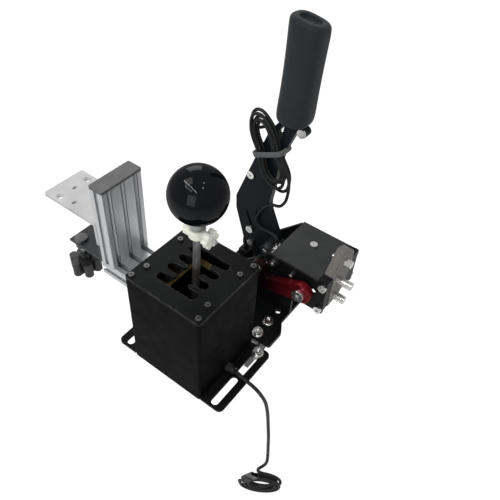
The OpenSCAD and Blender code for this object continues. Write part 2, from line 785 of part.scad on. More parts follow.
module shaft_clip() color("#d4d6cc") in_stick() translate([0, 0, clip_at])
    difference() {
        union() {
            cylinder(d = clip_d, h = clip_h, center = true);
            translate([-5, 0, -clip_h / 2]) cube([10, 13, clip_h]);
            bar_front(-clip_d / 2 + 2, clip_boss_y - clip_d / 2 + 2, 4, [0, 0]);
        }
        cylinder(d = stick_d + 0.04, h = clip_h + 2 * cut, center = true);
        translate([-1, 0, -clip_h]) cube([2, 14, 2 * clip_h]);
        bar_front(0, clip_boss_y + cut, clip_screw_d / 2 + run_gap, [0, 0]);
    }

module clip_screw() color("#c6c8c8") in_stick() translate([0, 0, clip_at])
    bar_front(-stick_d / 2 - 0.2, 18, clip_screw_d / 2, [0, 0]);

module thumb_nut() color("#c8cdb9") in_stick() translate([0, -clip_boss_y - seat_gap, clip_at])
    rotate([90, 0, 0]) linear_extrude(thumb_nut_t)
        difference() {
            union() {
                circle(d = thumb_nut_d * 0.74);
                for (i = [0:5]) rotate(60 * i) translate([thumb_nut_d * 0.35, 0]) circle(d = thumb_nut_d * 0.3);
            }
            circle(d = clip_screw_d + 2 * run_gap);
        }

module switch_board() color("#9a7b4f") at_shifter() translate([0, 0, board_top - board_t])
    linear_extrude(board_t)
        difference() {
            square([2 * (post_at - post_w / 2) - 1, 2 * box_in - 2], center = true);
            square([58, 41], center = true);
            for (x = [-1, 1], y = [-1, 1])
                translate([x * inner_screw[0], y * inner_screw[1]]) circle(d = small_screw_d + 0.2);
        }

// One microswitch at each end of each gear column, with its roller towards the stick
module gear_switches() color("#2a2a2c") at_shifter()
    for (x = column_at, turn = [0, 180]) rotate(turn) translate([x, -switch_y, board_top]) {
        translate([-switch_size[0] / 2, -switch_size[1], 0]) cube(switch_size);
        translate([0, 1.2, 4]) rotate([0, 90, 0]) cylinder(r = roller_r, h = 3, center = true);
        translate([-1.5, -2, 3.6]) cube([3, 3, 0.8]);
    }

module centring_springs() color("#a9abab") at_shifter()
    for (y = [-1, 1]) translate([0, y * (cheek_y + cheek_t + 1.2), pivot_h]) rotate(y * 90)
        tube(spring_points(trunnion_d / 2 + 1.2, 2.2, 2), 0.8, 6);

module cable_gland() color("#232425") at_shifter() {
    bar_front(-box_w / 2, 4, 5, [0, gland_z], 6);
    bar_front(-box_w / 2 - 4, gland_reach - 4, 3.8, [0, gland_z]);
    bar_front(-box_in, cover_t, 4, [0, gland_z]);
    bar_front(-box_in + 3, 3, 5, [0, gland_z], 6);
}

// Handbrake body

brake_bolt_y = [-45, 35];
brake_rail_x = -brake_side;

module brake_base() color("#1b1c1d") at_brake() linear_extrude(brake_base_t)
    difference() {
        polygon(rounded([
            [brake_rail_x - 6, -65, 3], [brake_rail_x + 17, -65, 3], [-48.5, -56.5, 6],
            [brake_w / 2, -56.5, 3], [brake_w / 2, 50, 3], [brake_rail_x - 6, 50, 3]
        ]));
        for (x = [0, cell, 2 * cell], y = brake_bolt_y)
            translate([brake_rail_x + x, y]) circle(d = bolt_d + 0.6);
        translate([-82.5, -47]) circle(d = 4);
    }

// Outline of a side plate: nose, foot and sloping rear edge
module side_outline() polygon([
    [-nose_reach, nose_low], [-62, nose_low], [-56.5, nose_low - 6], [-56.5, brake_base_t],
    [46, brake_base_t], [40, 26], [18, 39.5], [-20, top_low], [-nose_back, top_low],
    [-nose_back, brake_h], [-nose_reach, brake_h]
]);

nose_screw_at = [[-89.5, 72.7], [-89.5, 38.5]];

module side_holes() {
    translate([0, lever_pivot_h]) circle(d = pivot_d + 0.04);
    for (p = concat(nose_screw_at, [cross_rod, [-27.8, 70], [-52, 68]])) translate(p) circle(d = 5.2);
}

module left_side_plate() color("#161718") at_brake() along_x(-brake_w / 2, side_t)
    difference() {
        side_outline();
        side_holes();
        translate([0, lever_pivot_h])
            arc_slot(pin_r, pin_angle - 1, pin_angle + lever_travel + 1, lever_pin_d / 2 + 0.4);
        band(link_front + [0.6, 0], link_front - [plunger_travel + 0.6, 0], link_bolt_d / 2 + 0.4);
    }

module right_side_plate() color("#161718") at_brake() along_x(brake_in, side_t)
    difference() {
        side_outline();
        side_holes();
    }

module top_plate() color("#343534") at_brake() translate([0, 0, top_low])
    linear_extrude(top_t) difference() {
        translate([-brake_w / 2, -nose_back]) square([brake_w, nose_back - 23]);
        translate([7, -52]) circle(d = 5.2);
    }

// Guide block and rods of the plunger, cross rod and nose lugs between the side plates
module brake_spacers() color("#222324") at_brake() {
    difference() {
        translate([-brake_in, guide_block[0], plunger_low])
            cube([2 * brake_in, guide_block[1] - guide_block[0], top_low - plunger_low]);
        for (x = [-guide_x, guide_x]) bar_front(0, nose_reach, guide_d / 2 + 0.02, [x, guide_z]);
        translate([7, -52, 60]) cylinder(d = 5.1, h = 20);
        for (x = [-brake_in - cut, brake_in - 9]) bar_x(x, 10, 2.55, [-52, 68]);
    }
    for (x = [-guide_x, guide_x])
        bar_front(guide_block[1], nose_back + guide_block[1], guide_d / 2, [x, guide_z]);
    difference() {
        bar_x(-brake_in, 2 * brake_in, 4, cross_rod);
        for (x = [-brake_in - cut, brake_in - 9]) bar_x(x, 10, 2.55, cross_rod);
    }
    difference() {
        union() {
            translate([-brake_in, -nose_reach, 36]) cube([7, nose_reach - nose_back, brake_h - 36]);
            translate([brake_in - 12, -nose_reach, 36]) cube([12, nose_reach - nose_back, brake_h - 36]);
        }
        for (p = nose_screw_at, x = [-brake_in - cut, brake_in - 6]) bar_x(x, 7, 2.55, p);
    }
}

// Screw along X with its head outside a side plate: side is -1 on the left
module side_screw(side, at, l, head_d) translate([side * brake_w / 2, at[0], at[1]])
    rotate([0, 90 * side, 0]) socket_screw(5, l, head_d, 3.5, 4);

module side_screws() color("#b6b8b8") at_brake() {
    for (side = [-1, 1]) {
        for (p = nose_screw_at) side_screw(side, p, side_t + 5, 9);
        side_screw(side, cross_rod, side_t + 8, 8.5);
        side_screw(side, [-27.8, 70], side_t + 4, 8.5);
        side_screw(side, [-52, 68], side_t + 8, 5.6);
        difference() {
            bar_x(side > 0 ? brake_in - 3.5 : -brake_in, 3.5, 4.5, [-27.8, 70], $fn = 6);
            bar_x(side > 0 ? brake_in - 5 : -brake_in - cut, 6, 2.55, [-27.8, 70]);
        }
    }
    translate([7, -52, brake_h]) socket_screw(5, 14, 8.5, 2, 3);
}

// Outline of the end block and end plate on the nose, seen from the front
module end_outline() polygon([
    [-brake_in + 7, 36], [-brake_in + 7, 77], [-0.5, 102], [13.5, 96],
    [17.5, 90], [17.5, 64], [8.5, 42], [-0.5, 36]
]);

end_screw_at = [[-2.5, 90], [-7.5, 66], [-8.5, 42]];
end_screw_nut = [0, 4, 3];
end_screw_head = [8, 12, 9];

module end_block() color("#3f4041") at_brake() along_front(-nose_back, end_face - nose_back)
    difference() {
        end_outline();
        for (p = end_screw_at) translate(p) circle(d = 5.2);
    }

module end_plate() color("#4b4b48") at_brake() along_front(-end_face, end_plate_t)
    difference() {
        end_outline();
        for (p = end_screw_at) translate(p) circle(d = 5.2);
    }

module end_screws() color("#d0d2d2") at_brake() for (i = [0:2]) {
    front = -end_face - end_plate_t;
    nut = end_screw_nut[i];
    bar_front(i == 0 ? -nose_back + 2.5 : -nose_back - 0.5, end_face - nose_back + end_plate_t + nut
        + (i == 0 ? 2.5 : -0.5), 2.5, end_screw_at[i]);
    if (nut > 0) difference() {
        bar_front(front, nut, 5, end_screw_at[i], 6);
        bar_front(front + cut, nut + 2 * cut, 2.55, end_screw_at[i]);
    }
    bar_front(front - nut, end_screw_head[i], 4.6, end_screw_at[i], i == 0 ? 6 : $fn);
}

// Handbrake lever

// Corners of the lever arm: (y, z, corner radius)
arm_corners = [
    [14, 26, 0], [26, heel_z, 0], [33, heel_z, 1], [47, 87.5, 8], [48, 104.7, 8], [27, 165, 20],
    [12, 205, 12], [2, 219, 4], [2, grip_top - 32, 3], [-26, grip_top - 32, 3], [-26, 226, 4],
    [-17, 214.6, 6], [-5, 183, 15], [5, 111, 30], [-9, 81, 10], [-14, 70, 0], [-15, lever_pivot_h, 0]
];
slit_ends = [[[32, 89], [24, 71.6]], [[19, 96], [11, 77]]];
arm_bolt_at = [[25.6, 66.5], [22.7, 46.8], [29.6, 142.8]];
hub_bolt_at = [-1, 53.5];
grip_bolt_at = [-23.5, 216.8];

module lever_arm() color("#1e2226") at_brake() along_x(-arm_t / 2, arm_t)
    difference() {
        union() {
            polygon(rounded(arm_corners));
            translate([0, lever_pivot_h]) circle(r = 16);
            translate(lever_pin) circle(r = 7.5);
            translate(grip_bolt_at) circle(r = 5);
        }
        translate([0, lever_pivot_h]) circle(d = hub_d + 0.04);
        translate(lever_pin) circle(d = lever_pin_d + 0.04);
        polygon([[-3.7, 217.7], [4, 205], [0.2, 187]]);
        for (s = slit_ends) band(s[0], s[1], 1.8);
        for (p = arm_bolt_at) translate(p) circle(d = 5.2);
        translate(hub_bolt_at) circle(d = 8.2);
        translate(grip_bolt_at) circle(d = 5.2);
    }

module lever_hub() color("#1a1c1f") at_brake() {
    difference() {
        union() {
            bar_x(-24, 50, hub_d / 2, [0, lever_pivot_h]);
            along_x(arm_t / 2, 6) {
                translate([0, lever_pivot_h]) circle(r = 16);
                polygon([[-14, 40], [-9, 66], [18, 80], [32, 76], [32, heel_z], [26, heel_z], [14, 25]]);
            }
        }
        bar_x(-30, 60, pivot_d / 2 + run_gap, [0, lever_pivot_h]);
        for (p = [arm_bolt_at[0], arm_bolt_at[1]]) bar_x(0, 20, 2.6, p);
        bar_x(0, 20, 4.1, hub_bolt_at);
    }
}

module pivot_shaft() color("#3a3c3e") at_brake() {
    bar_x(-brake_w / 2, brake_w, pivot_d / 2, [0, lever_pivot_h]);
    for (x = [-brake_w / 2 - 5, brake_w / 2]) bar_x(x, 5, 9, [0, lever_pivot_h], $fn = 6);
}

module arm_bolts() color("#2b2d30") at_brake() {
    for (p = [arm_bolt_at[0], arm_bolt_at[1]]) translate([-arm_t / 2, p[0], p[1]])
        rotate([0, -90, 0]) socket_screw(5, arm_t + 6, 9, 2.6, 3);
    for (p = [arm_bolt_at[2], grip_bolt_at]) translate([-arm_t / 2, p[0], p[1]])
        rotate([0, -90, 0]) socket_screw(5, arm_t, 9, 2.6, 3);
    translate([-arm_t / 2, hub_bolt_at[0], hub_bolt_at[1]])
        rotate([0, -90, 0]) socket_screw(8, arm_t + 6, 13, 8, 6);
}

// Grip section at height z: [z, middle in y, half width in y, half width in x]
grip_sections = [
    [0, -10.5, 13, 12], [2, -11, 16, 14.5], [9, -11.5, 18, 16], [30, -12.5, 17.6, 16], [52, -13.5, 17.4, 15.8],
    [74, -14.3, 18.4, 16.2], [90, -14.8, 19, 16.4], [96, -14.8, 18, 15.6], [100, -14.8, 14.5, 12.5]
];

module lever_grip() color("#26292c") at_brake()
    difference() {
        lofted_grip();
        translate([-arm_t / 2 - 0.05, -26.1, grip_top - grip_l - cut])
            cube([arm_t + 0.1, 28.2, grip_l - 32 + cut + 0.1]);
        translate([0, -14.8, grip_top - 3]) linear_extrude(6) rounded_rect(13, 17, 5);
    }

module lofted_grip() {
    sides = 32;
    squareness = 0.72;
    n = len(grip_sections);
    points = [for (s = grip_sections, k = [0:sides - 1])
        let (c = cos(360 * k / sides), d = sin(360 * k / sides))
        [s[3] * sign(c) * pow(abs(c), squareness), s[1] + s[2] * sign(d) * pow(abs(d), squareness),
            grip_top - grip_l + s[0] * grip_l / 100]];
    skin = [for (i = [0:n - 2], k = [0:sides - 1])
        let (a = i * sides + k, b = i * sides + (k + 1) % sides)
        each [[a, a + sides, b + sides], [a, b + sides, b]]];
    bottom = [for (k = [0:sides - 1]) k];
    top = [for (k = [sides - 1:-1:0]) (n - 1) * sides + k];
    polyhedron(points, concat(skin, [bottom], [top]));
}

// Linkage

module link_pin() color("#c3c5c5") at_brake() {
    bar_x(-link_x - link_t - 1, link_x + link_t + 1 + arm_t / 2, lever_pin_d / 2, lever_pin);
    bar_x(-link_x - link_t - 3.5, 2.5, 6.5, lever_pin);
    difference() {
        union() {
            bar_x(-arm_t / 2 - 8, 8 - 0.02, 6, lever_pin);
            translate([brake_cord_x - 1.2, lever_pin[0], lever_pin[1]]) cylinder(r = 2.6, h = 8);
        }
        bar_x(-arm_t / 2 - 9, 10, lever_pin_d / 2, lever_pin);
    }
}

// Corners of the link's bent body: (y, z, corner radius)
link_corners = [
    [-73.8, 47.3, 0], [-20.2, 35.7, 8], [-7.5, 58.2, 0], [-22.5, 65.8, 0], [-27.8, 53.7, 3], [-66.2, 70.7, 0]
];

module pull_link() color("#7c1620") at_brake() along_x(-link_x - link_t, link_t)
    difference() {
        union() {
            translate(link_front) circle(r = 12.5);
            translate(lever_pin) circle(r = 8.5);
            polygon(rounded(link_corners));
        }
        translate(link_front) circle(r = link_bolt_d / 2 + run_gap);
        translate(lever_pin) circle(r = lever_pin_d / 2 + eye_play);
    }

module link_bolt() color("#cbcdcd") at_brake() {
    bar_x(-link_x - link_t - seat_gap, link_x + link_t + seat_gap + 12, link_bolt_d / 2, link_front);
    translate([-link_x - link_t - seat_gap, link_front[0], link_front[1]]) rotate([0, -90, 0])
        socket_screw(link_bolt_d, 0.01, 14, 5, 6);
}

module plunger() color("#5b5e60") at_brake()
    difference() {
        translate([-18, link_front[0] - plunger_t / 2 + 1, plunger_low]) cube([36, plunger_t, plunger_h]);
        for (x = [-guide_x, guide_x])
            bar_front(0, nose_reach, guide_d / 2 + run_gap, [x, guide_z]);
        bar_x(-20, 40, link_bolt_d / 2 + 0.02, link_front);
    }

module lever_stop() color("#1c1d1e") at_brake() {
    difference() {
        translate([-7, stop_y - 6.5, brake_base_t]) cube([14, 13, 29 - brake_base_t]);
        translate([0, stop_y, 12]) cylinder(d = 6.1, h = 30);
    }
    translate([0, stop_y, heel_z - seat_gap - 6.5]) socket_screw(6, 24, 10, 6.5, 5);
}

module return_spring() color("#a8aaaa") at_brake()
    translate([arm_t / 2 + 8, 0, lever_pivot_h])
        tube(spring_points(hub_d / 2 + 2.6, 3, 4), 1.1, 6);

// Cords

module shifter_cord() color("#1e1f20") at_shifter() {
    start = shifter_hank_path[0];
    run = unit(shifter_hank_path[1] - start);
    tube(concat(smooth(shifter_cord_route, 4), [start - 4 * run, start]), shifter_cord_d / 2, 8);
}

module shifter_hank() color("#1e1f20") at_shifter()
    tube(shifter_hank_path, shifter_cord_d / 2, 6, [0, 0, 1]);

module shifter_plug() color("#242526") at_shifter() translate(shifter_hank_path[len(shifter_hank_path) - 1])
    rotate([0, 0, shifter_hank_turn]) rotate([35, 0, 0]) translate([0, 0, 0.5]) mirror([0, 0, 1]) plug();

// Moulded plug that hangs from its cord, with its metal shell below
module plug() {
    translate([-3, -4.5, -14]) cube([6, 9, 14]);
    translate([-2.2, -6, -25]) cube([4.4, 12, 11]);
}

module brake_cord() color("#191b1d") at_brake() {
    n = len(brake_hank_path);
    start = brake_hank_path[n - 1];
    run = unit(start - brake_hank_path[n - 2]);
    tube(concat([start, start + 3 * run], smooth(brake_cord_route, 3)), brake_cord_d / 2, 8);
}

module brake_hank() color("#191b1d") at_brake()
    tube(brake_hank_path, brake_cord_d / 2, 6);

module brake_plug() color("#222426") at_brake()
    translate(brake_tail_route[0] - [0, 0, 0.4]) rotate([-12, 0, 0]) plug();

// Strap round the lever arm, the hank and the plug behind the arm
module hank_tie() color("#6e7072") at_brake()
    translate([0, hank_middle[0], hank_middle[1]]) rotate([-tie_tilt, 0, 0])
        translate([-1.2, -1.6, -tie_h / 2]) linear_extrude(tie_h) difference() {
            rounded_rect(24 + 2 * tie_t, 36 + 2 * tie_t, 3);
            rounded_rect(24, 36, 2);
        }

rail();
column();
end_caps();
frame_bolts();
clamp_top_plate();
clamp_jaw();
clamp_pad(-1);  // clamp_pad_left
clamp_pad(1);  // clamp_pad_right
clamp_screw(-1);  // clamp_screw_left
clamp_screw(1);  // clamp_screw_right
clamp_knob(-1);  // clamp_knob_left
clamp_knob(1);  // clamp_knob_right
base_plate();
front_cover();
rear_cover();
gate_plate();
housing_screws();
gate_posts();
pivot_bracket();
pivot_bushes();
cradle();
cross_pin();
shaft_block();
shift_shaft();
shift_knob();
knob_collar();
shaft_clip();
clip_screw();
thumb_nut();
switch_board();
gear_switches();
centring_springs();
cable_gland();
brake_base();
left_side_plate();
right_side_plate();
top_plate();
brake_spacers();
side_screws();
end_block();
end_plate();
end_screws();
lever_arm();
lever_hub();
pivot_shaft();
arm_bolts();
lever_grip();
link_pin();
pull_link();
link_bolt();
plunger();
lever_stop();
return_spring();
shifter_cord();
shifter_hank();
shifter_plug();
brake_cord();
brake_hank();
hank_tie();
brake_plug();
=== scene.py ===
"""Dressed model of the gear shifter set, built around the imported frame.

Everything is in metres in the frame of the CAD model. Lengths that end in _mm, and the
points of the cords' routes, are in millimetres.
"""

import json
import math

import bmesh
import bpy
from mathutils import Matrix, Vector


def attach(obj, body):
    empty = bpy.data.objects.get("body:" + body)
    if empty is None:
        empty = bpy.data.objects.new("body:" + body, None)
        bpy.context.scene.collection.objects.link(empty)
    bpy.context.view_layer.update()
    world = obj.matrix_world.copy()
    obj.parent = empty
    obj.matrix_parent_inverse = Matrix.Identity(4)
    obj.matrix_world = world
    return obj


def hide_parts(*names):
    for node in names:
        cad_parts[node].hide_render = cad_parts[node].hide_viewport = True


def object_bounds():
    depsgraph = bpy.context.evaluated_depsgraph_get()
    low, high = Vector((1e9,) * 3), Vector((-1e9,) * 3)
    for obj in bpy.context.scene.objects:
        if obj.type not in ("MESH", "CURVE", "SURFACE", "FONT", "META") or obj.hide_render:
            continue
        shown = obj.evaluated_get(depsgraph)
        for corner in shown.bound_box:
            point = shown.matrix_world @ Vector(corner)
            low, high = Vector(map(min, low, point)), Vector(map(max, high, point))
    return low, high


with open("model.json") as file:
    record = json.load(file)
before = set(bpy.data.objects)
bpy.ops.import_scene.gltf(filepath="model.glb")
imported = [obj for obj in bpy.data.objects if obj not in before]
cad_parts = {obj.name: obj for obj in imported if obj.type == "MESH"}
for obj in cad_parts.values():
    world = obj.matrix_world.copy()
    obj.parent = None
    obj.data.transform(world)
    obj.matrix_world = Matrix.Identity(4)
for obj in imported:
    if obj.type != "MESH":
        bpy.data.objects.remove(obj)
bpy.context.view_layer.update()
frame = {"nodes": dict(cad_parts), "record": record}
scene = bpy.context.scene
nodes = frame["nodes"]

MM = 0.001
SHIFTER = Vector((-56, -171, -57))
BRAKE = Vector((79.5, -169, -57))

# Names and measures of part.scad that the pieces here share with it
PIVOT_H = 30
LEVER_PIVOT_H = 32
STICK_SIDE = math.atan(15.3 / 2 / (123 - PIVOT_H))
REST_LEAN = math.radians(1.8)
STICK_L = 172.8
KNOB_D = 54
KNOB_FLAT = 24
GRIP_TOP = 322
GRIP_L = 100
BRAKE_CORD_D = 3.4
SHIFTER_CORD_D = 4
ARM_T = 8

# Edges that turn by more than this stay crisp and are bevelled
SHARP_ANGLE = math.radians(38)


# Camera

def make_camera():
    """Camera at the photograph's viewing angle."""
    heading = math.radians(33.056)
    drop = math.radians(45.015)
    roll = math.radians(4.84)
    forward = Vector((
        math.cos(drop) * math.cos(heading),
        math.cos(drop) * math.sin(heading),
        -math.sin(drop),
    ))
    level = forward.cross(Vector((0, 0, 1))).normalized()
    upright = level.cross(forward)
    right = level * math.cos(roll) + upright * math.sin(roll)
    up = upright * math.cos(roll) - level * math.sin(roll)
    data = bpy.data.cameras.new("camera")
    data.sensor_fit = "HORIZONTAL"
    data.sensor_width = 36
    data.lens = 40.025
    data.clip_start = 0.01
    data.clip_end = 20
    camera = bpy.data.objects.new("camera", data)
    scene.collection.objects.link(camera)
    turn = Matrix((right, up, -forward)).transposed().to_4x4()
    standpoint = Matrix.Translation((-0.318608, -0.402052, 0.44608))
    camera.matrix_world = standpoint @ turn
    scene.camera = camera


make_camera()


# Materials

# Stretch of a noise pattern, for marks that run along one axis
ALONG_X = (0.01, 1, 1)
ALONG_Y = (1, 0.01, 1)
ALONG_Z = (1, 1, 0.01)


class Finish:
    """A material under construction, with short calls for the nodes that it needs."""

    def __init__(self, name, colour, rough, metallic=0.0, **sockets):
        self.made = bpy.data.materials.new(name)
        self.made.use_nodes = True
        self.made.diffuse_color = (*colour, 1)
        self.tree = self.made.node_tree
        self.shader = self.tree.nodes["Principled BSDF"]
        self.put(self.shader.inputs["Base Color"], (*colour, 1))
        self.put(self.shader.inputs["Roughness"], rough)
        self.put(self.shader.inputs["Metallic"], metallic)
        for key, value in sockets.items():
            self.put(self.shader.inputs[key.replace("_", " ")], value)
        self.place = self.add("TexCoord").outputs["Object"]
        self.colour = colour
        self.normal = None

    def put(self, socket, value):
        if isinstance(value, bpy.types.NodeSocket):
            self.tree.links.new(value, socket)
        else:
            socket.default_value = value

    def add(self, kind, inputs=None, **settings):
        node = self.tree.nodes.new("ShaderNode" + kind)
        for key, value in settings.items():
            setattr(node, key, value)
        for key, value in (inputs or {}).items():
            self.put(node.inputs[key], value)
        return node

    def noise(self, scale, detail=2.0, stretch=(1, 1, 1)):
        """Noise from 0 to 1, with its features stretched along an axis where stretch is small."""
        place = self.add("Mapping", {"Vector": self.place, "Scale": stretch}).outputs["Vector"]
        node = self.add("TexNoise", {"Vector": place, "Scale": scale, "Detail": detail})
        return node.outputs["Fac"]

    def cells(self, scale):
        """Distance to the nearest of many scattered points."""
        return self.add("TexVoronoi", {"Vector": self.place, "Scale": scale}).outputs["Distance"]

    def spread(self, value, low, high, start=0.3, stop=0.7):
        node = self.add("MapRange", {
            "Value": value, "From Min": start, "From Max": stop, "To Min": low, "To Max": high,
        })
        return node.outputs["Result"]

    def sum(self, a, b, operation="ADD"):
        return self.add("Math", {0: a, 1: b}, operation=operation).outputs[0]

    def mix(self, share, a, b):
        node = self.add("Mix", data_type="RGBA")
        self.put(node.inputs["Factor"], share)
        self.put(node.inputs[6], a)
        self.put(node.inputs[7], b)
        return node.outputs[2]

    def shades(self, share, depth):
        """The finish's colour, lighter and darker by depth as share goes from 0 to 1."""
        dark = [c * (1 - depth) for c in self.colour] + [1]
        light = [min(1, c * (1 + depth)) for c in self.colour] + [1]
        return self.mix(share, dark, light)

    def bump(self, height, distance, strength=1.0):
        inputs = {"Height": height, "Distance": distance, "Strength": strength}
        if self.normal is not None:
            inputs["Normal"] = self.normal
        self.normal = self.add("Bump", inputs).outputs["Normal"]
        self.put(self.shader.inputs["Normal"], self.normal)

    def edges(self, radius, start=0.03, stop=0.25):
        """1 along sharp edges and 0 on open faces."""
        round_normal = self.add("Bevel", {"Radius": radius}, samples=4).outputs["Normal"]
        flat_normal = self.add("NewGeometry").outputs["Normal"]
        dot = self.add("VectorMath", {0: round_normal, 1: flat_normal}, operation="DOT_PRODUCT")
        return self.spread(dot.outputs["Value"], 0, 1, 1 - start, 1 - stop)

    def vary(self, colour=None, rough=None):
        if colour is not None:
            self.put(self.shader.inputs["Base Color"], colour)
        if rough is not None:
            self.put(self.shader.inputs["Roughness"], rough)


def coat(name, colour, rough, worn_and_highlit=(0.16, 0.16, 0.16), wear_and_highlight=0.5, shine=0.1):
    """Powder coat: fine orange peel, cloudy sheen, and edges painted paler, as rubbed wear and, in the gate
    coat, also as a painted highlight.
    """
    f = Finish(name, colour, rough, Specular_IOR_Level=shine)
    cloud = f.spread(f.noise(38, 4), 0, 1)
    patchy = f.spread(f.noise(160, 3), 0, 1, 0.42, 0.66)
    # Pale edges: rubbed wear, and with the gate coat's strong settings also a painted highlight
    rubbed_and_highlit = f.sum(f.edges(0.0005), patchy, "MULTIPLY")
    rubbed_and_highlit = f.sum(rubbed_and_highlit, wear_and_highlight, "MULTIPLY")
    f.vary(
        f.mix(rubbed_and_highlit, f.shades(cloud, 0.13), (*worn_and_highlit, 1)),
        f.spread(f.noise(75, 3), rough - 0.06, rough + 0.07),
    )
    f.bump(f.noise(1500, 2), 0.00003)
    return f.made


def metal(name, colour, rough, stretch=(1, 1, 1), grain=900, shade=0.1, full=1.0):
    """Bare or plated metal with fine marks along the way that it was worked."""
    f = Finish(name, colour, rough, full)
    marks = f.noise(grain, 3, stretch)
    smudge = f.spread(f.noise(60, 3), -0.05, 0.07)
    f.vary(
        f.shades(f.spread(marks, 0, 1), shade),
        f.sum(f.spread(marks, rough - 0.05, rough + 0.06), smudge),
    )
    f.bump(marks, 0.00001)
    return f.made


def anodised(name, colour, painted_shade_colour, rough):
    """Dyed metal, with painted shade that darkens it from its front end to its rear end."""
    f = Finish(name, colour, rough, 0.7)
    along = f.add("SeparateXYZ", {"Vector": f.add("TexCoord").outputs["Generated"]}).outputs["Y"]
    marks = f.noise(900, 3, ALONG_X)
    # Painted shade: the colour falls to a much darker red towards the rear end
    dye_and_painted_shade = f.mix(f.spread(along, 0, 1, 0.3, 0.75), (*colour, 1), (*painted_shade_colour, 1))
    f.vary(
        f.mix(f.spread(marks, 0, 0.25), dye_and_painted_shade, (0.006, 0.002, 0.002, 1)),
        f.spread(marks, rough - 0.05, rough + 0.1),
    )
    f.bump(marks, 0.00001)
    return f.made


def plastic(name, colour, rough, grain=1300, depth=0.00003, **sockets):
    """Moulded plastic with a fine grain and slightly uneven sheen."""
    f = Finish(name, colour, rough, **sockets)
    f.vary(
        f.shades(f.spread(f.noise(45, 3), 0, 1), 0.1),
        f.spread(f.noise(110, 3), rough - 0.05, rough + 0.06),
    )
    f.bump(f.noise(grain, 2), depth)
    return f.made


def foam(name, colour):
    """Skinned foam: small pores, a soft sheen and a dusty cast in places."""
    f = Finish(name, colour, 0.72, Sheen_Weight=0.08, Sheen_Roughness=0.5, Specular_IOR_Level=0.25)
    dust = f.spread(f.noise(26, 5), 0, 1, 0.35, 0.75)
    f.vary(f.shades(dust, 0.22), f.spread(dust, 0.66, 0.8, 0, 1))
    f.bump(f.cells(1500), 0.00012, 0.55)
    f.bump(f.noise(420, 3), 0.00012, 0.5)
    return f.made


def rubber(name, colour):
    """Soft cord jacket, a little dull, with faint rubbed places."""
    f = Finish(name, colour, 0.5, Specular_IOR_Level=0.3)
    rub = f.spread(f.noise(90, 4), 0, 1)
    f.vary(f.shades(rub, 0.3), f.spread(rub, 0.42, 0.6, 0, 1))
    f.bump(f.noise(1700, 2), 0.00004)
    return f.made


def weave(name, colour):
    """Woven strap: crossing threads with a slight fuzz."""
    f = Finish(name, colour, 0.85, Sheen_Weight=0.3)
    threads = []
    for direction in ("X", "Z"):
        wave = f.add("TexWave", {"Vector": f.place, "Scale": 420, "Distortion": 0.6, "Detail Scale": 2},
                     bands_direction=direction)
        threads.append(wave.outputs["Fac"])
    height = f.sum(threads[0], threads[1], "MAXIMUM")
    f.vary(f.shades(f.sum(height, f.noise(260, 3), "MULTIPLY"), 0.35))
    f.bump(height, 0.00018, 0.8)
    return f.made


def milky(name, colour):
    """Translucent nylon: light goes some way into it, and its face is a little uneven."""
    f = Finish(name, colour, 0.34, Subsurface_Weight=0.35, Subsurface_Scale=0.004,
               Subsurface_Radius=(1, 0.95, 0.85))
    f.vary(f.shades(f.spread(f.noise(120, 3), 0, 1), 0.09), f.spread(f.noise(300, 2), 0.28, 0.42))
    f.bump(f.noise(500, 2), 0.00005)
    return f.made


# Base colours of the black coat and of the bare metals
BLACK_COAT = (0.0055, 0.006, 0.006)
ALUMINIUM = (0.58, 0.59, 0.60)
STEEL = (0.42, 0.43, 0.44)
PLATED = (0.72, 0.72, 0.71)

